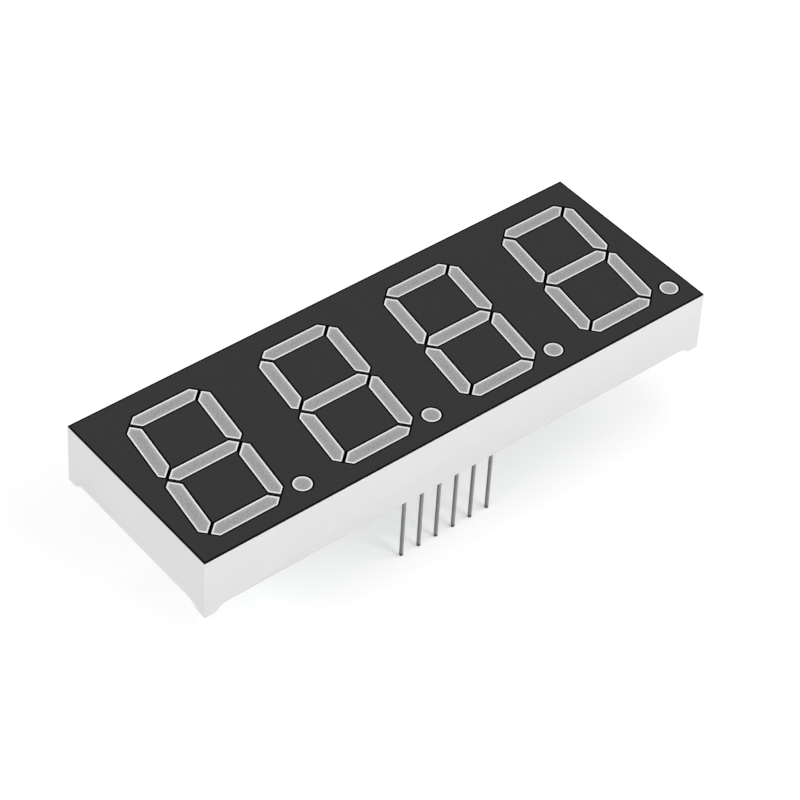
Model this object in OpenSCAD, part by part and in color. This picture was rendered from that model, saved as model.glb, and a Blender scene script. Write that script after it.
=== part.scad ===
// Four-digit seven-segment display, slanted digits, twelve pins in two rows.
// Sizes are in millimetres. The pin tips stand on z = 0, the digits read along +X, their tops point to +Y.

/* [Body] */
// Length of the face, along the row of digits
body_w = 71.2; // [60:0.1:90]
// Depth of the face, along the height of the digits
body_d = 25.3; // [24:0.1:34]
// Height from the skirt edge to the face
body_h = 7.5; // [6.8:0.1:10]
// Outward draft of each outer wall, from the face down to the skirt edge
draft = 0.1; // [0:0.02:0.3]
// Thickness of the skirt walls round the back pocket
skirt_t = 1; // [0.7:0.05:1.4]
// Height of the corner feet below the skirt edge
foot_h = 0.8; // [0.4:0.05:1.5]
// Width of a corner foot at its tip
foot_tip = 1.4; // [0.8:0.1:2]
// Width of a corner foot and its post at the skirt edge
foot_base = 2.4; // [2.1:0.1:3]

/* [Face] */
// Thickness of the printed mask on the face
mask_t = 0.12; // [0.06:0.02:0.3]
// Bare margin between the mask and the edge of the face
mask_margin = 0.04; // [0:0.02:0.3]
// Play between a mask window and the rim that stands in it
window_play = 0.02; // [0:0.01:0.06]
// Drop of the rims and the epoxy below the top of the mask
rim_drop = 0.02; // [0:0.01:0.05]
// Width of the white rim round each segment and point
rim_t = 0.2; // [0.1:0.02:0.3]

/* [Digits] */
// Number of digits
digits = 4; // [1:1:4]
// Bare face above and below a digit in the middle of the face
digit_edge = 2.7; // [2.3:0.05:3.5]
// Width of a digit over its segments, before the slant
digit_w = 11.1; // [9:0.1:12]
// Width of a segment over its rim
stroke = 1.8; // [1.5:0.05:2.2]
// Gap between neighbouring segments
segment_gap = 0.42; // [0.3:0.02:0.6]
// Slant of the digits, in degrees
slant = 8; // [0:0.5:12]
// Shift of the digits from the middle of the face
digit_shift = -0.35; // [-0.6:0.05:0.6]
// Diameter of a decimal point over its rim
point_d = 2.2; // [1.9:0.1:2.6]
// Distance of a decimal point from the middle of its digit
point_x = 6.35; // [6:0.05:7]

/* [Light funnels] */
// Depth of the light funnels, from the mask down to the board
funnel_h = 5.3; // [4.6:0.1:6]
// Slope of the long funnel walls: how far each leans in at the board
side_lean = 0.28; // [0.1:0.02:0.4]
// Slope of the end funnel walls: how far each leans in at the board, as a share of the digit's height
end_share = 0.06; // [0.02:0.005:0.07]
// Slope of the round funnels: how far the wall leans in at the board
point_lean = 0.12; // [0.05:0.01:0.2]

/* [Chips] */
// Side of a light-emitting chip
chip_w = 0.32; // [0.2:0.02:0.44]
// Height of a light-emitting chip
chip_h = 0.2; // [0.1:0.02:0.3]
// Gap between a chip and the sloped end of its funnel
chip_gap = 0.2; // [0.1:0.05:0.4]
// Thickness and width of a bond wire
wire_t = 0.05; // [0.03:0.01:0.08]
// Reach of a bond wire from its chip to its pad
wire_reach = 0.7; // [0.5:0.05:0.9]
// Height of a bond wire's loop above the chip
wire_loop = 0.22; // [0.12:0.02:0.4]

/* [Board and pins] */
// Thickness of the circuit board
board_t = 1.2; // [0.8:0.1:1.4]
// Play between the board and the pocket it sits in
board_play = 0.1; // [0.05:0.01:0.2]
// Pins in each row
row_pins = 6; // [2:1:8]
// Distance between neighbouring pins of a row
pin_pitch = 2.54; // [2:0.01:2.54]
// Distance of each row of pins from the edge of the face
row_inset = 2.49; // [2.2:0.01:4]
// Diameter of a pin
pin_d = 0.5; // [0.4:0.02:0.6]
// Height of the skirt edge above the pin tips
stand_h = 12.1; // [6:0.1:14]
// Length of the tapered tip of a pin
pin_taper = 0.2; // [0.1:0.05:0.4]
// Diameter of the thinner tail that goes through the board and leaves a shoulder below it
tail_d = 0.36; // [0.3:0.02:0.4]
// Play between a pin's tail and its hole in the board
hole_play = 0.05; // [0.02:0.01:0.06]
// Depth of a pin's inner end below the top of the board
pin_sink = 0.1; // [0.05:0.05:0.3]
// Diameter of a solder joint at the board
solder_d = 1.3; // [1.1:0.05:1.4]
// Height of a solder joint
solder_h = 0.55; // [0.3:0.05:0.7]
// Thickness of a solder joint where it runs out on its pad
solder_edge = 0.06; // [0.04:0.01:0.1]

/* [Hidden] */
// Heights above the pin tips
top_z = stand_h + body_h;
mask_z = top_z - mask_t;
rim_z = top_z - rim_drop;
seat_z = mask_z - funnel_h;
board_z = seat_z - board_t;
// Outline of the skirt edge
skirt_w = body_w + 2 * draft;
skirt_d = body_d + 2 * draft;
// Pocket for the board, with a post left in each corner
pocket_w = skirt_w - 2 * skirt_t;
pocket_d = skirt_d - 2 * skirt_t;
post_w = foot_base - skirt_t;
// Distance between the two rows of pins
row_space = body_d - 2 * row_inset;
// Digit layout
cell_w = body_w / digits;
digit_h = body_d - 2 * digit_edge;
half_w = digit_w / 2;
half_h = digit_h / 2;
end_lean = end_share * digit_h;
// Shift along x or y that opens half a gap on a 45-degree mitre
mitre = segment_gap / sqrt(2);
lean = tan(slant);
names = ["a", "b", "c", "d", "e", "f", "g"];
pins = 2 * row_pins;
// Round sides
pin_fn = 24;
solder_fn = 24;
solder_steps = 4;
point_fn = 48;
// Overlap that keeps cut tools from ending on a face
cut = 0.5;

// Node to draw

// Name of the node that holds segment s of digit d
function segment_name(d, s) = str("digit_", d, "_segment_", s);

// Middle of digit d on the face
function digit_at(d) = [(d - (digits + 1) / 2) * cell_w, digit_shift];

// Middle of the decimal point of digit d
function point_at(d) = digit_at(d) + [point_x, stroke / 2 - half_h];

// Where a point of the upright digit lies on the slanted one
function slanted(p) = [p[0] + lean * p[1], p[1]];

// Upright outline of the top segment
function outline_a() = [
    [-half_w + stroke + mitre, half_h - stroke],
    [half_w - stroke - mitre, half_h - stroke],
    [half_w - (stroke + mitre) / 2, half_h - (stroke - mitre) / 2],
    [half_w - stroke, half_h],
    [-half_w + stroke, half_h],
    [-half_w + (stroke + mitre) / 2, half_h - (stroke - mitre) / 2]
];

// Upright outline of the upper left segment
function outline_f() = [
    [-half_w + stroke / 2 - mitre, mitre],
    [-half_w + stroke, stroke / 2 + 2 * mitre],
    [-half_w + stroke, half_h - stroke - mitre],
    [-half_w + (stroke - mitre) / 2, half_h - (stroke + mitre) / 2],
    [-half_w, half_h - stroke],
    [-half_w, stroke / 2]
];

// Upright outline of the middle segment
function outline_g() = [
    [-half_w + stroke / 2, 0],
    [-half_w + stroke, -stroke / 2],
    [half_w - stroke, -stroke / 2],
    [half_w - stroke / 2, 0],
    [half_w - stroke, stroke / 2],
    [-half_w + stroke, stroke / 2]
];

// True for the segments that lie across the digit
function lies(s) = s == "a" || s == "d" || s == "g";

// Outline that segment s is a mirror image of
function base(s) = s == "g" ? outline_g() : lies(s) ? outline_a() : outline_f();

// How far each edge of that outline moves in, long edges by one distance and end edges by another
function moves(s, side, end) = s == "a" || s == "d" ? [side, end, end, side, end, end]
    : [end, side, end, end, side, end];

// Mirror signs of segment s against its base outline
function mirror_x(s) = s == "b" || s == "c" ? -1 : 1;
function mirror_y(s) = s == "c" || s == "d" || s == "e" ? -1 : 1;

// Unit normal of the edge from p to q, pointing into an outline drawn anticlockwise
function inward(p, q) = [p[1] - q[1], q[0] - p[0]] / norm(q - p);

// Corner where two edges meet after each moves along its normal
function moved(p, m, n, dm, dn) =
    p + [dm * n[1] - dn * m[1], dn * m[0] - dm * n[0]] / (m[0] * n[1] - m[1] * n[0]);

// Outline with each edge moved in by its own distance
function shrunk(pts, by) = let (n = len(pts)) [
    for (i = [0:n - 1])
        let (before = (i + n - 1) % n, after = (i + 1) % n)
        moved(pts[i], inward(pts[before], pts[i]), inward(pts[i], pts[after]), by[before], by[i])
];

// Outline in the opposite order of corners
function turned(pts) = [for (i = [len(pts) - 1:-1:0]) pts[i]];

// Slanted outline of segment s about the middle of its digit, with its edges moved in
function segment_outline(s, side, end) =
    let (x = mirror_x(s), y = mirror_y(s))
    let (pts = [for (p = shrunk(base(s), moves(s, side, end))) slanted([x * p[0], y * p[1]])])
    x * y < 0 ? turned(pts) : pts;

// Middle of segment s on the upright digit
function segment_middle(s) = lies(s)
    ? [0, s == "g" ? 0 : mirror_y(s) * (half_h - stroke / 2)]
    : [-mirror_x(s) * (half_w - stroke / 2), mirror_y(s) * (half_h - stroke / 2 + mitre) / 2];

// Length of segment s on its middle line, over its rim
function run(s) = lies(s) ? digit_w - stroke - (s == "g" ? 0 : 2 * mitre) : half_h - stroke / 2 - 3 * mitre;

// Distance of the two chips of segment s from its middle, near the 45-degree ends of the funnel at the board
function chip_step(s) = run(s) / 2 - sqrt(2) * (rim_t + end_lean) - chip_w - chip_gap;

// Places of the two chips of segment s about the middle of its digit, each with the turn of its wire
function chip_places(s) = [
    for (k = [-1, 1])
        let (step = k * chip_step(s) * (lies(s) ? [1, 0] : [0, 1]))
        [slanted(segment_middle(s) + step), (lies(s) ? 0 : 90 - slant) + (k < 0 ? 0 : 180)]
];

// Place of the chip under the decimal point about the middle of its digit, moved aside for its wire
function point_chip() = [[point_x - wire_reach / 2, stroke / 2 - half_h], 0];

// Place of pin p: the front row counts to the right, the back row counts to the left
function pin_at(p) = p <= row_pins
    ? [(p - (row_pins + 1) / 2) * pin_pitch, -row_space / 2]
    : [(pins - p + 1 - (row_pins + 1) / 2) * pin_pitch, row_space / 2];

// Rectangle of w by d about the middle, drawn anticlockwise
function box(w, d) = [[-w, -d], [w, -d], [w, d], [-w, d]] / 2;

// Solid between two outlines with parallel edges
module loft(low, high, low_z, high_z) {
    n = len(low);
    points = concat([for (p = low) [p[0], p[1], low_z]], [for (p = high) [p[0], p[1], high_z]]);
    walls = [for (i = [0:n - 1]) [i, n + i, n + (i + 1) % n, (i + 1) % n]];
    polyhedron(points, concat([[for (i = [0:n - 1]) i]], [[for (i = [0:n - 1]) 2 * n - 1 - i]], walls));
}

// Rectangle of w by d with a square notch in each corner
module notched(w, d, notch) {
    difference() {
        square([w, d], center = true);
        for (x = [-1, 1])
            for (y = [-1, 1])
                translate([x * w / 2, y * d / 2])
                    square(2 * notch, center = true);
    }
}

// Body of light under segment s: fills its funnel from the board to the rim
module segment_body(s) {
    face = segment_outline(s, rim_t, rim_t);
    throat = segment_outline(s, rim_t + side_lean, rim_t + end_lean);
    loft(throat, face, seat_z, rim_z);
}

// Body of light under a decimal point
module point_body() {
    mouth_d = point_d - 2 * rim_t;
    translate([0, 0, seat_z])
        cylinder(h = rim_z - seat_z, d1 = mouth_d - 2 * point_lean, d2 = mouth_d, $fn = point_fn);
}

// Plate in the shape of every segment and point, grown by the given play
module face_shapes(play, low_z, high_z) {
    for (d = [1:digits]) {
        translate([digit_at(d)[0], digit_at(d)[1], low_z])
            for (s = names)
                linear_extrude(high_z - low_z)
                    polygon(segment_outline(s, -play, -play));
        translate([point_at(d)[0], point_at(d)[1], low_z])
            cylinder(h = high_z - low_z, d = point_d + 2 * play, $fn = point_fn);
    }
}

// Corner foot at the given corner of the skirt
module foot(x, y) {
    corner = [x * skirt_w / 2, y * skirt_d / 2];
    tip = [for (p = box(foot_tip, foot_tip)) corner - [x, y] * foot_tip / 2 + p];
    root = [for (p = box(foot_base, foot_base)) corner - [x, y] * foot_base / 2 + p];
    loft(tip, root, stand_h - foot_h, stand_h);
}

// White moulded case with its funnels, rims, board pocket and feet
module housing() {
    difference() {
        union() {
            loft(box(skirt_w, skirt_d), box(body_w, body_d), stand_h, mask_z);
            face_shapes(0, mask_z, rim_z);
            for (x = [-1, 1])
                for (y = [-1, 1])
                    foot(x, y);
        }
        translate([0, 0, stand_h - foot_h - cut])
            linear_extrude(seat_z - stand_h + foot_h + cut)
                notched(pocket_w, pocket_d, post_w);
        for (d = [1:digits]) {
            translate([digit_at(d)[0], digit_at(d)[1], 0])
                for (s = names)
                    segment_body(s);
            translate([point_at(d)[0], point_at(d)[1], 0])
                point_body();
        }
    }
}

// Dark printed layer on the face, with a window round each rim
module face_mask() {
    difference() {
        translate([0, 0, mask_z])
            linear_extrude(mask_t)
                square([body_w - 2 * mask_margin, body_d - 2 * mask_margin], center = true);
        face_shapes(window_play, mask_z - cut, top_z + cut);
    }
}

// Chip at a place, with its foot on the board
module chip(place) {
    translate([place[0][0], place[0][1], seat_z + chip_h / 2])
        cube([chip_w, chip_w, chip_h], center = true);
}

// Bond wire from the top of a chip over its loop down to the board
module wire(place) {
    path = [
        [-wire_t, chip_h],
        [wire_t, chip_h],
        [wire_t, chip_h + wire_loop - 2 * wire_t],
        [2 * wire_t, chip_h + wire_loop - wire_t],
        [wire_reach / 2, chip_h + wire_loop - wire_t],
        [wire_reach - wire_t, wire_t],
        [wire_reach - wire_t, 0],
        [wire_reach + 2 * wire_t, 0],
        [wire_reach + 2 * wire_t, wire_t],
        [wire_reach, wire_t],
        [wire_reach / 2 + wire_t / 2, chip_h + wire_loop],
        [wire_t, chip_h + wire_loop],
        [0, chip_h + wire_loop - wire_t],
        [0, chip_h + wire_t],
        [-wire_t, chip_h + wire_t]
    ];
    translate([place[0][0], place[0][1], seat_z])
        rotate([0, 0, place[1]])
            rotate([90, 0, 0])
                linear_extrude(wire_t, center = true)
                    polygon(path);
}

// Milky epoxy of segment s, cast round its chips and wires
module segment(s) {
    difference() {
        segment_body(s);
        for (place = chip_places(s)) {
            chip(place);
            wire(place);
        }
    }
}

// Milky epoxy of a decimal point, cast round its chip and wire
module point() {
    difference() {
        translate([point_x, stroke / 2 - half_h, 0])
            point_body();
        chip(point_chip());
        wire(point_chip());
    }
}

// All chips of a digit
module led_chips() {
    for (s = names)
        for (place = chip_places(s))
            chip(place);
    chip(point_chip());
}

// All bond wires of a digit
module bond_wires() {
    for (s = names)
        for (place = chip_places(s))
            wire(place);
    wire(point_chip());
}

// Board that closes the back of the case
module circuit_board() {
    difference() {
        translate([0, 0, board_z])
            linear_extrude(board_t)
                notched(pocket_w - 2 * board_play, pocket_d - 2 * board_play, post_w);
        for (p = [1:pins])
            translate([pin_at(p)[0], pin_at(p)[1], board_z - cut])
                cylinder(h = board_t + 2 * cut, d = tail_d + 2 * hole_play, $fn = pin_fn);
    }
}

// Pin p: a tapered tip, a shank up to the board and a thinner tail through it
module pin(p) {
    translate([pin_at(p)[0], pin_at(p)[1], 0]) {
        cylinder(h = pin_taper, d1 = pin_d / 2, d2 = pin_d, $fn = pin_fn);
        translate([0, 0, pin_taper])
            cylinder(h = board_z - pin_taper, d = pin_d, $fn = pin_fn);
        translate([0, 0, board_z])
            cylinder(h = board_t - pin_sink, d = tail_d, $fn = pin_fn);
    }
}

// Half profile of a solder joint: a hollow curve from the pin out to the edge of its pad
function solder_profile() = let (reach = (solder_d - pin_d) / 2 - solder_edge) concat(
    [[pin_d / 2, 0], [solder_d / 2, 0], [solder_d / 2, -solder_edge]],
    [for (t = [1:solder_steps])
        let (u = t / solder_steps * 90)
        [solder_d / 2 - reach * sin(u), -solder_edge - (solder_h - solder_edge) * (1 - cos(u))]],
    [[pin_d / 2, -solder_h]]
);

// Solder round every pin on the back of the board
module solder_joints() {
    for (p = [1:pins])
        translate([pin_at(p)[0], pin_at(p)[1], board_z])
            rotate_extrude($fn = solder_fn)
                polygon(solder_profile());
}

// Draws a child at digit d
module at_digit(d) {
    translate([digit_at(d)[0], digit_at(d)[1], 0])
        children();
}

color("WhiteSmoke") housing();
color("DarkSlateGray") face_mask();
color("SeaGreen") circuit_board();
color("Silver") solder_joints();
for (d = [1:digits]) {
    for (s = names)
        color("DarkGray") at_digit(d) segment(s);
    color("DarkGray") at_digit(d) point();
    color("LightGray") at_digit(d) led_chips();
    color("Gold") at_digit(d) bond_wires();
}
for (p = [1:pins])
    color("Gainsboro") pin(p);
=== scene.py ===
from math import cos, pi, radians, sin

import bmesh
import bpy
from mathutils import Matrix, Vector


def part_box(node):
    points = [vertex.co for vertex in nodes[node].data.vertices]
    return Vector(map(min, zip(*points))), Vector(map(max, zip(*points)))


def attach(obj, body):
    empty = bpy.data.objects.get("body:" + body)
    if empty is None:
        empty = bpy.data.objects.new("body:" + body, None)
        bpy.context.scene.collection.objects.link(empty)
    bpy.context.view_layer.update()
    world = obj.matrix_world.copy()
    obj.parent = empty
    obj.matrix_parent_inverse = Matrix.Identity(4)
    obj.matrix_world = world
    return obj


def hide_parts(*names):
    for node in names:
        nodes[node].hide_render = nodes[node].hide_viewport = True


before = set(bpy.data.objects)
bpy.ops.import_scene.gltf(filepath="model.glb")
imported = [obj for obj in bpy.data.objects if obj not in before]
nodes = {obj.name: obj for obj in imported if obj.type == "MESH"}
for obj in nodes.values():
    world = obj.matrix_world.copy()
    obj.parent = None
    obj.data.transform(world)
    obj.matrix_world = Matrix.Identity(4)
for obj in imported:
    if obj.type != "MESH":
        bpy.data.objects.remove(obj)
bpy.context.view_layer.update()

# Sizes are in millimetres until a piece is brought to its real size. The stage at the end is in metres.
MM = 0.001

DIGITS = (1, 2, 3, 4)
SEGMENTS = "abcdefg"
PINS = range(1, 13)

# Rounding of the case: at the bends of its feet, along its outer edges and on the rims of its funnels
FOOT_BEND = 0.25
OUTER_EDGE = 0.07
RIM_EDGE = 0.03

# Bands in which the case's faces and edges are looked for: the feet, the drafted outer walls, the rims
FOOT_BAND = 1
WALL_BAND = 0.15
RIM_BAND = 0.05

# Angles between two faces, in degrees: from where an edge counts as sharp, and at the bends of the feet
SHARP_ANGLE = 20
BEND_ANGLES = (25, 60)

# Room for rounding errors where points are picked by their height
TOLERANCE = 0.01

# Black line along the border of the print, and round its windows as painted shade of the gaps there
LINE_WIDTH = 0.18

# Steps of the epoxy's shallow meniscus, each a width inwards and a fall, and the last fall to the middle
MENISCUS = ((0.08, 0.022), (0.08, 0.014), (0.07, 0.008), (0.05, 0.004))
MIDDLE_FALL = 0.012

# Band under the face in which the tops of the epoxy are looked for
EPOXY_BAND = 0.1

# Pin: its tapered tip, the rounding of the tip, and the thinner tail in the board
TIP_TAPER = 0.2
TIP_EDGE = 0.04
TAIL_RADIUS = 0.18

# Heights up to which the bottom of a pin is painted fully dark as contact shade, and at which this painted
# shade ends
TIP_SHADE_FULL = 0.25
TIP_SHADE_END = 0.7

# Solder: its thickness where it runs out on its pad, and the steps of its hollow curve
SOLDER_EDGE = 0.06
SOLDER_STEPS = 8

# Copper on the back of the board: a track's width and rise, and the rings of the vias and the pads
TRACK_WIDTH = 0.44
TRACK_RISE = 0.0264
VIA = {"middle": 0.3, "width": 0.3, "thickness": 0.08}
PAD = {"middle": 0.62, "width": 0.5, "thickness": 0.05}

# Route of a track: how far it laps its pad, its level off the pin row, its reach from the middle of the
# board, the cuts of its two corners, and the lead to its via
PAD_LAP = 0.03
FIRST_LEVEL = 1.6
LEVEL_STEP = 1.35
FIRST_REACH = 31.5
REACH_STEP = 9
BACK_ROW_SHIFT = 2.2
NEAR_CORNER = 0.7
FAR_CORNER = 0.8
VIA_LEAD = 2.1


def node_box(name):
    """Lowest and highest corner of a solid."""
    low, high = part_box(name)
    return low / MM, high / MM


def pin_place(number):
    """Middle of a pin on the floor plane."""
    low, high = node_box("pin_%d" % number)
    return Vector(((low.x + high.x) / 2, (low.y + high.y) / 2, 0))


case_low, case_high = node_box("housing")
board_back = node_box("circuit_board")[0].z
face_top = node_box("face_mask")[1].z
epoxy_top = node_box("digit_1_segment_a")[1].z
epoxy_bottom = epoxy_top - sum(fall for width, fall in MENISCUS) - MIDDLE_FALL
pin_low, pin_high = node_box("pin_1")
pin_width = pin_high.x - pin_low.x
pin_pitch = pin_place(2).x - pin_place(1).x

# Steps from the middle of a row to its last pin
row_half = (len(PINS) / 2 - 1) / 2


# Node helpers


def feed(tree, socket, value):
    """Sets a socket to a plain value, or links another node's output to it."""
    if isinstance(value, bpy.types.NodeSocket):
        tree.links.new(value, socket)
    else:
        socket.default_value = value


def add_math(tree, operation, *values):
    """Output of a Math node."""
    node = tree.nodes.new("ShaderNodeMath")
    node.operation = operation
    for socket, value in zip(node.inputs, values):
        feed(tree, socket, value)
    return node.outputs[0]


def add_span(tree, value, start, end, low=0, high=1):
    """A value carried from one span to another and held at its ends."""
    node = tree.nodes.new("ShaderNodeMapRange")
    ends = (("Value", value), ("From Min", start), ("From Max", end), ("To Min", low), ("To Max", high))
    for label, source in ends:
        feed(tree, node.inputs[label], source)
    return node.outputs["Result"]


def add_noise(tree, place, scale, detail, roughness):
    """Noise over a place."""
    node = tree.nodes.new("ShaderNodeTexNoise")
    for label, source in (("Vector", place), ("Scale", scale), ("Detail", detail), ("Roughness", roughness)):
        feed(tree, node.inputs[label], source)
    return node.outputs["Fac"]


def full(colour):
    """A grey or a colour as a colour with full alpha."""
    return (colour, colour, colour, 1) if isinstance(colour, (int, float)) else (*colour, 1)


# Shared effects


def new_group(name, inputs, outputs):
    """An empty shader node group with number inputs and outputs."""
    group = bpy.data.node_groups.new(name, "ShaderNodeTree")
    for label, value in inputs.items():
        socket = group.interface.new_socket(label, in_out="INPUT", socket_type="NodeSocketFloat")
        socket.default_value = value
    for label in outputs:
        group.interface.new_socket(label, in_out="OUTPUT", socket_type="NodeSocketFloat")
    return group, group.nodes.new("NodeGroupInput"), group.nodes.new("NodeGroupOutput")


def make_mottle():
    """Slow cloudy change and fine specks, each from 0 to 1."""
    group, enter, leave = new_group("mottle", {"Cloud Scale": 300, "Speck Scale": 6000}, ["Cloud", "Speck"])
    place = group.nodes.new("ShaderNodeTexCoord").outputs["Object"]
    cloud = add_noise(group, place, enter.outputs["Cloud Scale"], detail=4, roughness=0.6)
    speck = add_noise(group, place, enter.outputs["Speck Scale"], detail=2, roughness=0.7)
    for label, noise in (("Cloud", cloud), ("Speck", speck)):
        feed(group, leave.inputs[label], add_span(group, noise, start=0.3, end=0.7))
    return group


def make_drawn_lines():
    """Fine lines along Z, as on drawn wire."""
    group, enter, leave = new_group("drawn_lines", {"Scale": 9000, "Stretch": 0.02}, ["Lines"])
    place = group.nodes.new("ShaderNodeTexCoord").outputs["Object"]
    stretch = group.nodes.new("ShaderNodeCombineXYZ")
    for label, source in (("X", 1), ("Y", 1), ("Z", enter.outputs["Stretch"])):
        feed(group, stretch.inputs[label], source)
    drawn = group.nodes.new("ShaderNodeVectorMath")
    drawn.operation = "MULTIPLY"
    feed(group, drawn.inputs[0], place)
    feed(group, drawn.inputs[1], stretch.outputs["Vector"])
    lines = add_noise(group, drawn.outputs["Vector"], enter.outputs["Scale"], detail=3, roughness=0.5)
    feed(group, leave.inputs["Lines"], lines)
    return group


mottle = make_mottle()
drawn_lines = make_drawn_lines()


# Finishes


class Finish:
    """A material with one Principled shader and the nodes that feed it."""

    def __init__(self, name, specular=0.5, metallic=0):
        self.material = bpy.data.materials.new(name)
        self.material.use_nodes = True
        self.tree = self.material.node_tree
        self.shader = self.tree.nodes["Principled BSDF"]
        self.set("Specular IOR Level", specular)
        self.set("Metallic", metallic)

    def set(self, label, source):
        """Feeds an input of the shader."""
        feed(self.tree, self.shader.inputs[label], source)

    def effect(self, group, **values):
        """Outputs of a shared effect with this finish's own values."""
        node = self.tree.nodes.new("ShaderNodeGroup")
        node.node_tree = group
        for label, value in values.items():
            node.inputs[label.replace("_", " ")].default_value = value
        return node.outputs

    def axis(self, name):
        """One of the Object coordinates, in metres."""
        place = self.tree.nodes.new("ShaderNodeTexCoord")
        axes = self.tree.nodes.new("ShaderNodeSeparateXYZ")
        feed(self.tree, axes.inputs["Vector"], place.outputs["Object"])
        return axes.outputs[name]

    def colour(self, mask, low, high):
        """Base colour between two ends by a mask. An end is a grey, a colour or another colour's output."""
        mix = self.tree.nodes.new("ShaderNodeMix")
        mix.data_type = "RGBA"
        feed(self.tree, mix.inputs["Factor"], mask)
        for label, end in (("A", low), ("B", high)):
            plain = not isinstance(end, bpy.types.NodeSocket)
            feed(self.tree, mix.inputs[label], full(end) if plain else end)
        self.set("Base Color", mix.outputs["Result"])
        return mix.outputs["Result"]

    def roughness(self, mask, low, high):
        """Roughness between two ends by a mask."""
        self.set("Roughness", add_span(self.tree, mask, 0, 1, low, high))

    def bump(self, height, strength, depth):
        """Relief of the given depth in millimetres."""
        node = self.tree.nodes.new("ShaderNodeBump")
        for label, source in (("Strength", strength), ("Distance", depth * MM), ("Height", height)):
            feed(self.tree, node.inputs[label], source)
        self.set("Normal", node.outputs["Normal"])


def make_white_plastic():
    """Satin white moulding with a fine spark-eroded grain."""
    finish = Finish("white_plastic", specular=0.4)
    grain = finish.effect(mottle, Cloud_Scale=160, Speck_Scale=5200)
    finish.colour(grain["Cloud"], low=0.8, high=0.815)
    finish.roughness(grain["Speck"], low=0.4, high=0.52)
    finish.bump(grain["Speck"], strength=0.15, depth=0.004)
    return finish.material


def make_lit_rim_plastic():
    """A lighter copy of the white plastic on the rims, where they lie flush with the print under a smear of
    epoxy: painted light on these top faces.
    """
    finish = Finish("lit_rim_plastic", specular=0.3)
    grain = finish.effect(mottle, Cloud_Scale=700, Speck_Scale=5200)
    finish.colour(grain["Cloud"], low=0.87, high=0.93)
    finish.roughness(grain["Speck"], low=0.36, high=0.48)
    finish.bump(grain["Speck"], strength=0.15, depth=0.003)
    return finish.material


def make_print(name, low, high, specular):
    """Matte screen print with a faint stipple."""
    finish = Finish(name, specular)
    grain = finish.effect(mottle, Cloud_Scale=420, Speck_Scale=7000)
    finish.colour(grain["Speck"], low, high)
    finish.roughness(grain["Cloud"], low=0.55, high=0.6)
    finish.bump(grain["Speck"], strength=0.2, depth=0.003)
    return finish.material


def make_milky_epoxy():
    """Milky cast epoxy with fine grains of diffuser in it, and painted light that makes it paler towards its
    white rim.
    """
    finish = Finish("milky_epoxy", specular=0.2)
    grain = finish.effect(mottle, Cloud_Scale=900, Speck_Scale=4400)
    deep = finish.colour(grain["Speck"], low=0.25, high=0.44)
    # Painted light: the epoxy is painted paler towards the top of its meniscus at the rim, as glow from the
    # white walls of its funnel
    painted_rim_glow = add_span(finish.tree, finish.axis("Z"), start=epoxy_bottom * MM, end=epoxy_top * MM)
    finish.colour(painted_rim_glow, low=deep, high=0.5)
    finish.roughness(grain["Cloud"], low=0.42, high=0.54)
    finish.bump(grain["Cloud"], strength=0.1, depth=0.004)
    return finish.material


def make_tinned_wire():
    """Tinned wire with fine drawing lines and dull patches, painted shade on its left side, and painted
    contact shade at its tip.
    """
    finish = Finish("tinned_wire", metallic=1)
    tree = finish.tree
    lines = finish.effect(drawn_lines)
    dull = finish.effect(mottle, Cloud_Scale=900, Speck_Scale=9000)
    patches = 0.2
    # The pins stand half a step off the middle of the part, so 0.5 is the middle of each pin
    across = add_math(tree, "FRACT", add_math(tree, "DIVIDE", finish.axis("X"), pin_pitch * MM))
    half = pin_width / pin_pitch / 2
    # Painted shade: a mask across each pin paints its left side darker and its right side lighter
    side = add_span(tree, across, start=0.5 - half, end=0.5 + half / 5, high=1 - patches)
    patches_and_painted_shade = add_math(tree, "MULTIPLY_ADD", dull["Cloud"], patches, side)
    tone = finish.colour(patches_and_painted_shade, low=0.14, high=0.4)
    # Painted shade: the bottom of each pin is painted nearly black, as the contact shade where it stands on
    # the floor
    tip_shade = add_span(tree, finish.axis("Z"), start=TIP_SHADE_END * MM, end=TIP_SHADE_FULL * MM)
    finish.colour(tip_shade, low=tone, high=0.015)
    finish.roughness(dull["Cloud"], low=0.12, high=0.22)
    finish.bump(lines["Lines"], strength=0.15, depth=0.004)
    return finish.material


def make_bright_solder():
    """Bright solder with a slightly frosted skin."""
    finish = Finish("bright_solder", metallic=1)
    frost = finish.effect(mottle, Cloud_Scale=2200, Speck_Scale=12000)
    finish.colour(frost["Cloud"], low=(0.55, 0.55, 0.56), high=(0.68, 0.68, 0.69))
    finish.roughness(frost["Cloud"], low=0.18, high=0.34)
    finish.bump(frost["Cloud"], strength=0.15, depth=0.01)
    return finish.material


def make_board_resist():
    """Green solder resist over glass cloth."""
    finish = Finish("board_resist")
    weave = finish.effect(mottle, Cloud_Scale=500, Speck_Scale=2600)
    finish.colour(weave["Cloud"], low=(0.008, 0.06, 0.026), high=(0.012, 0.078, 0.035))
    finish.roughness(weave["Speck"], low=0.24, high=0.34)
    finish.bump(weave["Speck"], strength=0.12, depth=0.006)
    return finish.material


def make_track_resist():
    """Resist where it lies over copper."""
    finish = Finish("track_resist")
    weave = finish.effect(mottle, Cloud_Scale=700, Speck_Scale=4000)
    finish.colour(weave["Cloud"], low=(0.02, 0.135, 0.05), high=(0.028, 0.165, 0.064))
    finish.roughness(weave["Speck"], low=0.22, high=0.3)
    finish.bump(weave["Speck"], strength=0.1, depth=0.004)
    return finish.material


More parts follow.
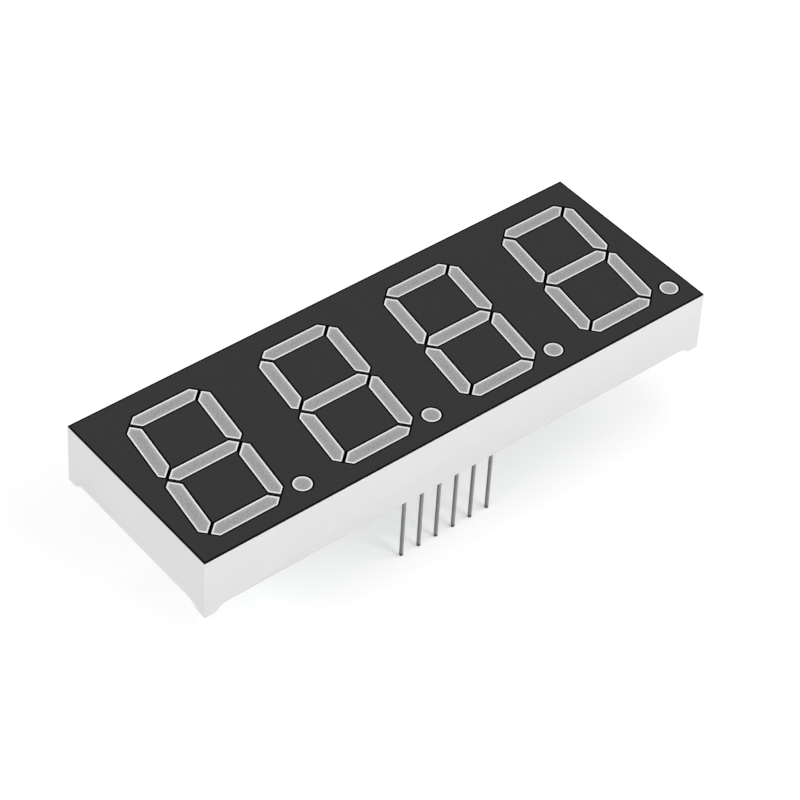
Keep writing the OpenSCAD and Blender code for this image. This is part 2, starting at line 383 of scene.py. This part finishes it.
def make_chip_crystal():
    """Sawn crystal of a light-emitting chip."""
    finish = Finish("chip_crystal")
    sawn = finish.effect(mottle, Cloud_Scale=5000, Speck_Scale=20000)
    finish.colour(sawn["Speck"], low=(0.32, 0.28, 0.24), high=(0.5, 0.46, 0.42))
    finish.roughness(sawn["Cloud"], low=0.25, high=0.45)
    return finish.material


def make_gold_wire():
    """Bare gold wire."""
    finish = Finish("gold_wire", metallic=1)
    tone = finish.effect(mottle, Cloud_Scale=8000, Speck_Scale=30000)
    finish.colour(tone["Cloud"], low=(0.78, 0.52, 0.16), high=(0.9, 0.64, 0.24))
    finish.roughness(tone["Speck"], low=0.2, high=0.32)
    return finish.material


white_plastic = make_white_plastic()
lit_rim_plastic = make_lit_rim_plastic()
dark_print = make_print("dark_print", low=0.025, high=0.034, specular=0.1)
# Near black without gloss: painted shade round the windows, and a black line along the border
black_line_and_painted_shade = make_print("black_line_and_painted_shade", low=0.0005, high=0.001, specular=0)
milky_epoxy = make_milky_epoxy()
tinned_wire = make_tinned_wire()
bright_solder = make_bright_solder()
board_resist = make_board_resist()
track_resist = make_track_resist()
chip_crystal = make_chip_crystal()
gold_wire = make_gold_wire()


# Modelling helpers


def work_on(piece):
    """Makes a piece the only selected and active one."""
    bpy.ops.object.select_all(action="DESELECT")
    piece.select_set(True)
    bpy.context.view_layer.objects.active = piece


def open_mesh(piece):
    """Opens a piece for editing with nothing selected."""
    work_on(piece)
    bpy.ops.object.mode_set(mode="EDIT")
    bpy.ops.mesh.select_all(action="DESELECT")


def close_mesh():
    """Ends editing."""
    bpy.ops.object.mode_set(mode="OBJECT")


def pick(piece, kind, test):
    """Selects the faces or edges that pass a test, and nothing else."""
    bpy.ops.mesh.select_mode(type={"faces": "FACE", "edges": "EDGE"}[kind])
    bpy.ops.mesh.select_all(action="DESELECT")
    mesh = bmesh.from_edit_mesh(piece.data)
    for item in getattr(mesh, kind):
        if test(item):
            item.select_set(True)
    mesh.select_flush_mode()
    bmesh.update_edit_mesh(piece.data)


def faces_up(face):
    """True for a level face that points up. A mesh's polygon will do as well."""
    return face.normal.z > 0.99


def bent(edge, least, most=180):
    """True for an edge where two faces meet at an angle between two limits in degrees."""
    return len(edge.link_faces) == 2 and radians(least) < edge.calc_face_angle() < radians(most)


def all_points(edge, test):
    """True where both points of an edge pass a test."""
    return all(test(point.co) for point in edge.verts)


def extrude(x=0, y=0, z=0):
    """Extrudes what is selected by a step."""
    bpy.ops.mesh.extrude_region_move(TRANSFORM_OT_translate={"value": (x, y, z)})


def copied(node, name, flatten=True):
    """Copy of a solid in millimetres, its loose triangles merged."""
    piece = bpy.data.objects.new(name, nodes[node].data.copy())
    bpy.context.scene.collection.objects.link(piece)
    piece.data.transform(Matrix.Scale(1 / MM, 4))
    piece.data.materials.clear()
    work_on(piece)
    bpy.ops.mesh.customdata_custom_splitnormals_clear()
    open_mesh(piece)
    bpy.ops.mesh.select_all(action="SELECT")
    bpy.ops.mesh.remove_doubles(threshold=0.0005)
    if flatten:
        bpy.ops.mesh.dissolve_limited(angle_limit=radians(0.5))
    bpy.ops.mesh.select_all(action="DESELECT")
    close_mesh()
    return piece


def named(piece, name):
    """Names a new primitive and its mesh."""
    piece.name = piece.data.name = name
    return piece


def joined(pieces, name):
    """One piece from several."""
    work_on(pieces[0])
    for piece in pieces:
        piece.select_set(True)
    bpy.ops.object.join()
    return named(bpy.context.view_layer.objects.active, name)


def smooth(piece, angle):
    """Smooth shading over edges flatter than the angle."""
    work_on(piece)
    bpy.ops.object.shade_smooth_by_angle(angle=radians(angle))


def finished(piece, slot, *materials, stands_for=()):
    """Brings a piece to its real size and gives it its finish and its place."""
    piece.data.transform(Matrix.Scale(MM, 4))
    for material in materials:
        piece.data.materials.append(material)
    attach(piece, "root")
    if stands_for:
        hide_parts(*stands_for)


# Pieces


def make_case():
    """White case: the moulding with its outer edges and the rims softened."""
    case = copied("housing", "reflector_case")
    open_mesh(case)

    def at_foot(point):
        return point.z < case_low.z + FOOT_BAND

    def at_wall(point):
        return abs(point.x) > case_high.x - WALL_BAND or abs(point.y) > case_high.y - WALL_BAND

    def at_top(point):
        return point.z > case_high.z - TOLERANCE

    pick(case, "edges", lambda edge: bent(edge, *BEND_ANGLES) and all_points(edge, at_foot))
    bpy.ops.mesh.bevel(offset=FOOT_BEND, segments=4, affect="EDGES", clamp_overlap=True)
    pick(case, "edges", lambda edge: bent(edge, SHARP_ANGLE) and all_points(edge, at_wall))
    bpy.ops.mesh.bevel(offset=OUTER_EDGE, segments=3, affect="EDGES", clamp_overlap=False)
    pick(case, "edges", lambda edge: bent(edge, SHARP_ANGLE) and all_points(edge, at_top))
    bpy.ops.mesh.bevel(offset=RIM_EDGE, segments=2, affect="EDGES", clamp_overlap=True)
    close_mesh()
    smooth(case, angle=35)
    # The top faces of the rims get the lighter copy of the white plastic, which is painted light
    for polygon in case.data.polygons:
        polygon.material_index = 1 if polygon.center.z > case_high.z - RIM_BAND else 0
    finished(case, "white_plastic", white_plastic, lit_rim_plastic, stands_for=["housing"])


def make_face_print():
    """Dark print on the face, with a black line along its border and round each window, where it is painted
    shade of the gaps at the windows' edges.
    """
    face = copied("face_mask", "face_print", flatten=False)
    open_mesh(face)
    pick(face, "faces", faces_up)
    bpy.ops.mesh.inset(thickness=LINE_WIDTH, depth=0, use_boundary=True, use_even_offset=True)
    bpy.ops.mesh.select_all(action="INVERT")
    close_mesh()
    for polygon in face.data.polygons:
        polygon.material_index = 1 if polygon.select and faces_up(polygon) else 0
    finished(face, "dark_mask", dark_print, black_line_and_painted_shade, stands_for=["face_mask"])


def make_light_bar(node, name):
    """Epoxy of one segment or point, its top sunk to a shallow meniscus."""
    bar = copied(node, name)
    open_mesh(bar)
    pick(bar, "faces", lambda face: faces_up(face) and face.calc_center_median().z > face_top - EPOXY_BAND)
    for width, fall in MENISCUS:
        bpy.ops.mesh.inset(thickness=width, depth=-fall, use_even_offset=True)
    bpy.ops.mesh.poke(offset=-MIDDLE_FALL)
    close_mesh()
    smooth(bar, angle=30)
    finished(bar, "milky_epoxy", milky_epoxy, stands_for=[node])


def make_pin(number):
    """Round wire pin: a tapered tip, a shank and a thinner tail in the board."""
    place = pin_place(number)
    radius = pin_width / 2
    bpy.ops.mesh.primitive_cone_add(
        vertices=32, radius1=radius / 2, radius2=radius, depth=TIP_TAPER,
        location=(place.x, place.y, TIP_TAPER / 2),
    )
    pin = named(bpy.context.object, "pin_wire_%d" % number)
    bpy.ops.object.transform_apply(location=True)
    open_mesh(pin)
    pick(pin, "faces", faces_up)
    extrude(z=board_back - TIP_TAPER)
    bpy.ops.mesh.inset(thickness=radius - TAIL_RADIUS)
    extrude(z=pin_high.z - board_back)

    def at_tip(point):
        return point.z < TIP_TAPER + TOLERANCE

    pick(pin, "edges", lambda edge: bent(edge, SHARP_ANGLE) and all_points(edge, at_tip))
    bpy.ops.mesh.bevel(offset=TIP_EDGE, segments=3, affect="EDGES")
    close_mesh()
    smooth(pin, angle=40)
    finished(pin, "tinned_pin", tinned_wire, stands_for=["pin_%d" % number])


def solder_profile():
    """Half outline of a fillet: distances from the middle of the pin and from the board."""
    low, high = node_box("solder_joints")
    shank = pin_width / 2
    foot = pin_place(1).x - low.x
    tall = high.z - low.z
    outline = [(shank, 0), (foot, 0), (foot, -SOLDER_EDGE)]
    for step in range(1, SOLDER_STEPS + 1):
        turn = step / SOLDER_STEPS * pi / 2
        fall = SOLDER_EDGE + (tall - SOLDER_EDGE) * (1 - cos(turn))
        outline.append((foot - (foot - shank) * sin(turn), -fall))
    return outline + [(shank, 0)]


def make_fillet():
    """One fillet about the Z axis: a point drawn out along its profile and spun."""
    outline = solder_profile()
    bpy.ops.mesh.primitive_plane_add(size=0.1, location=(outline[0][0], 0, board_back))
    fillet = named(bpy.context.object, "fillet")
    bpy.ops.object.transform_apply(location=True)
    open_mesh(fillet)
    bpy.ops.mesh.select_mode(type="VERT")
    bpy.ops.mesh.select_all(action="SELECT")
    bpy.ops.mesh.merge(type="CENTER")
    for (start_x, start_z), (end_x, end_z) in zip(outline, outline[1:]):
        extrude(x=end_x - start_x, z=end_z - start_z)
    bpy.ops.mesh.select_all(action="SELECT")
    bpy.ops.mesh.spin(steps=40, angle=2 * pi, center=(0, 0, 0), axis=(0, 0, 1))
    bpy.ops.mesh.select_all(action="SELECT")
    bpy.ops.mesh.remove_doubles(threshold=0.002)
    bpy.ops.mesh.normals_make_consistent(inside=False)
    close_mesh()
    return fillet


def make_solder_fillets():
    """Hollow fillet of solder round each pin."""
    pattern = make_fillet()
    fillets = []
    for number in PINS:
        fillet = bpy.data.objects.new("fillet_%d" % number, pattern.data.copy())
        bpy.context.scene.collection.objects.link(fillet)
        fillet.data.transform(Matrix.Translation(pin_place(number)))
        fillets.append(fillet)
    bpy.data.objects.remove(pattern)
    fillets = joined(fillets, "solder_fillets")
    smooth(fillets, angle=50)
    finished(fillets, "solder", bright_solder, stands_for=["solder_joints"])


def flat_ring(name, place, middle, width, thickness):
    """Flat ring of metal on the back of the board."""
    bpy.ops.mesh.primitive_torus_add(
        major_radius=middle, minor_radius=width / 2, major_segments=36, minor_segments=10,
        location=(place[0], place[1], board_back),
    )
    ring = named(bpy.context.object, name)
    ring.scale.z = thickness / width
    bpy.ops.object.transform_apply(location=True, scale=True)
    return ring


def track_route(number):
    """Corner points of the copper track that leaves a pin and ends at a via."""
    place = pin_place(number)
    inward = 1 if place.y < 0 else -1
    side = 1 if place.x > 0 else -1
    rank = round(row_half - abs(place.x) / pin_pitch)
    level = place.y + inward * (FIRST_LEVEL + LEVEL_STEP * rank)
    reach = FIRST_REACH - REACH_STEP * rank + (0 if inward > 0 else BACK_ROW_SHIFT)
    pad_edge = PAD["middle"] + PAD["width"] / 2
    return [
        (place.x, place.y + inward * (pad_edge - PAD_LAP)),
        (place.x, level - inward * NEAR_CORNER),
        (place.x + side * NEAR_CORNER, level),
        (side * (reach - FAR_CORNER), level),
        (side * reach, level + inward * FAR_CORNER),
        (side * reach, level + inward * VIA_LEAD),
    ]


def make_track(number):
    """One copper track: a round line along its route, pressed flat on the board."""
    route = track_route(number)
    curve = bpy.data.curves.new("track_%d" % number, "CURVE")
    curve.dimensions = "3D"
    curve.bevel_depth = TRACK_WIDTH / 2
    curve.bevel_resolution = 3
    curve.use_fill_caps = True
    line = curve.splines.new("POLY")
    line.points.add(len(route) - 1)
    for point, (x, y) in zip(line.points, route):
        point.co = (x, y, 0, 1)
    track = bpy.data.objects.new("track_%d" % number, curve)
    bpy.context.scene.collection.objects.link(track)
    work_on(track)
    bpy.ops.object.convert(target="MESH")
    track.scale.z = TRACK_RISE / (TRACK_WIDTH / 2)
    track.location.z = board_back
    bpy.ops.object.transform_apply(location=True, scale=True)
    return track


def make_copper():
    """Tracks under the resist, with a via at the end of each and a bare pad round each pin."""
    tracks = joined([make_track(number) for number in PINS], "board_tracks")
    smooth(tracks, angle=60)
    finished(tracks, "green_board", track_resist)
    vias = [flat_ring("via_%d" % number, track_route(number)[-1], **VIA) for number in PINS]
    pads = [flat_ring("pad_%d" % number, pin_place(number), **PAD) for number in PINS]
    for rings, name in ((vias, "board_vias"), (pads, "board_pads")):
        rings = joined(rings, name)
        smooth(rings, angle=60)
        finished(rings, "solder", bright_solder)


def finish_inner_solids():
    """Finish of the solids that show as they are: the board, its chips and their wires."""
    for name, node in nodes.items():
        if name == "circuit_board":
            finish = board_resist
        elif name.endswith("_led_chips"):
            finish = chip_crystal
        elif name.endswith("_bond_wires"):
            finish = gold_wire
        else:
            continue
        node.data.materials.clear()
        node.data.materials.append(finish)


make_case()
make_face_print()
for digit in DIGITS:
    for segment in SEGMENTS:
        make_light_bar("digit_%d_segment_%s" % (digit, segment), "light_bar_%d_%s" % (digit, segment))
    make_light_bar("digit_%d_point" % digit, "light_dot_%d" % digit)
for number in PINS:
    make_pin(number)
make_solder_fillets()
make_copper()
finish_inner_solids()


# Stage

FLOOR_SIZE = 6
FLOOR_GREY = 0.8

# Lift of the floor to white for the camera: near the part, far from it, and where it changes
NEAR_LIFT = 0.475
FAR_LIFT = 1
LIFT_START = 0.25
LIFT_END = 0.7

# Level of the light from all round
WORLD_LIGHT = 0.24

# Square lamps on a dome: its radius, a lamp's side, then name, turn from +X and rise in degrees, and watts
LAMP_REACH = 0.93
LAMP_SIZE = 0.4
LAMPS = (
    ("left_lamp", 180, 30, 3.6),
    ("front_lamp", 285, 30, 3.7),
    ("right_lamp", 325, 40, 1.7),
    ("back_lamp", 90, 50, 1.6),
)

# Camera of the photograph: its place, its turn about Z, dip and roll in degrees, and its lens in millimetres
CAMERA_PLACE = (-0.14888, -0.17072, 0.23097)
CAMERA_TURN = -41.277
CAMERA_DIP = 43.883
CAMERA_ROLL = 3.515
CAMERA_LENS = 124.47
CAMERA_SENSOR = 36


def looked_at(tree):
    """1 for the camera's own rays and for those mirrored or bent on the way, 0 for light."""
    rays = tree.nodes.new("ShaderNodeLightPath").outputs
    seen = add_math(tree, "MAXIMUM", rays["Is Camera Ray"], rays["Is Glossy Ray"])
    return add_math(tree, "MAXIMUM", seen, rays["Is Transmission Ray"])


def make_floor():
    """Pale floor that keeps the shadow and shows white to the camera."""
    bpy.ops.object.select_all(action="DESELECT")
    bpy.ops.mesh.primitive_plane_add(size=FLOOR_SIZE)
    floor = named(bpy.context.object, "floor")
    finish = Finish("floor_white", specular=0)
    tree = finish.tree
    finish.set("Base Color", full(FLOOR_GREY))
    finish.set("Roughness", 0.9)
    away = tree.nodes.new("ShaderNodeVectorMath")
    away.operation = "LENGTH"
    feed(tree, away.inputs[0], tree.nodes.new("ShaderNodeTexCoord").outputs["Object"])
    level = add_span(tree, away.outputs["Value"], LIFT_START, LIFT_END, NEAR_LIFT, FAR_LIFT)
    finish.set("Emission Color", full(1))
    finish.set("Emission Strength", add_math(tree, "MULTIPLY", looked_at(tree), level))
    floor.data.materials.append(finish.material)


def make_world():
    """White surroundings for the camera and for gloss, a softer level for light."""
    world = bpy.data.worlds.new("studio")
    bpy.context.scene.world = world
    world.use_nodes = True
    tree = world.node_tree
    light = tree.nodes["Background"]
    white = tree.nodes.new("ShaderNodeBackground")
    for background, strength in ((light, WORLD_LIGHT), (white, 1)):
        background.inputs["Color"].default_value = full(1)
        background.inputs["Strength"].default_value = strength
    mix = tree.nodes.new("ShaderNodeMixShader")
    for socket, source in zip(mix.inputs, (looked_at(tree), light.outputs[0], white.outputs[0])):
        tree.links.new(source, socket)
    tree.links.new(mix.outputs[0], tree.nodes["World Output"].inputs["Surface"])


def make_lamp(name, turn, rise, power):
    """Square soft lamp that faces the part."""
    lamp = bpy.data.lights.new(name, "AREA")
    lamp.shape = "SQUARE"
    lamp.size = LAMP_SIZE
    lamp.energy = power
    holder = bpy.data.objects.new(name, lamp)
    bpy.context.scene.collection.objects.link(holder)
    around, up = radians(turn), radians(rise)
    outward = Vector((cos(up) * cos(around), cos(up) * sin(around), sin(up)))
    holder.location = LAMP_REACH * outward
    holder.rotation_euler = (-outward).to_track_quat("-Z", "Y").to_euler()


def make_camera():
    """Camera at the photograph's place: turned about Z, dipped and rolled slightly."""
    lens = bpy.data.cameras.new("camera")
    lens.sensor_width = CAMERA_SENSOR
    lens.lens = CAMERA_LENS
    camera = bpy.data.objects.new("camera", lens)
    bpy.context.scene.collection.objects.link(camera)
    turn = Matrix.Rotation(radians(CAMERA_TURN), 4, "Z")
    dip = Matrix.Rotation(radians(90 - CAMERA_DIP), 4, "X")
    roll = Matrix.Rotation(radians(CAMERA_ROLL), 4, "Z")
    camera.matrix_world = Matrix.Translation(CAMERA_PLACE) @ turn @ dip @ roll
    bpy.context.scene.camera = camera


make_floor()
make_world()
for lamp in LAMPS:
    make_lamp(*lamp)
make_camera()
bpy.context.scene.view_settings.view_transform = "Standard"
